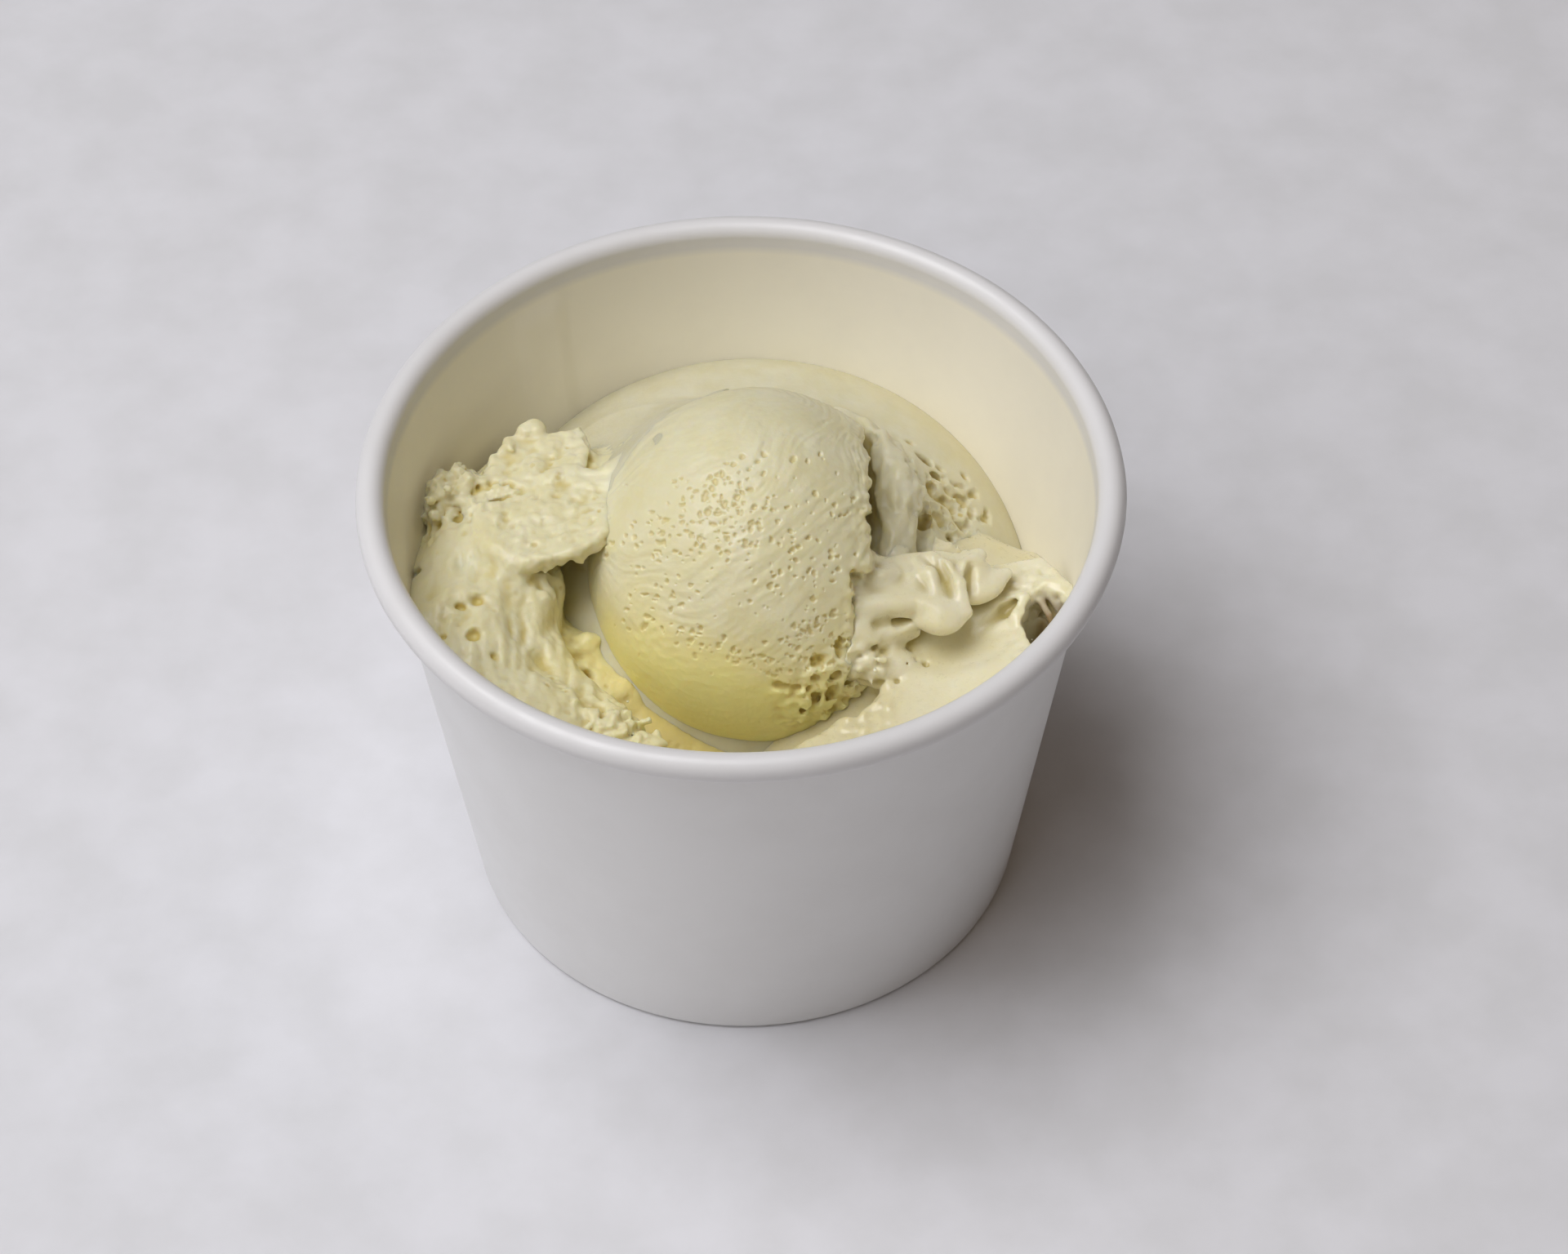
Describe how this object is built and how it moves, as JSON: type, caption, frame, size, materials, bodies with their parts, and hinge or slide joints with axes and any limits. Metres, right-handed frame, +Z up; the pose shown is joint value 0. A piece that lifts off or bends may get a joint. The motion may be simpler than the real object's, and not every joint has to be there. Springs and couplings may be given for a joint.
{
  "type": "gelato cup",
  "caption": "Small round paper cup with a rolled rim, filled with pale green gelato: an upright round scoop between a back scoop, a folded sheet and a rough heap.",
  "frame": {"origin": "on the cup's axis, at the middle of the ring that the cup stands on", "axes": "+Z up along the cup's axis, -Y to the front where the round scoop shows, +X to the right seen from the front"},
  "size_m": [0.09, 0.09, 0.0623],
  "materials": {
    "paper": "white coated paperboard, satin",
    "gelato": "pale green gelato, soft and matt with fine pits",
    "soft_gelato": "pale green gelato, smooth and slightly melted"
  },
  "bodies": {
    "root": {"cup_wall": "paper", "cup_base": "paper", "front_scoop": "gelato", "back_scoop": "gelato", "left_heap": "gelato", "right_fold": "soft_gelato"}
  },
  "joints": []
}
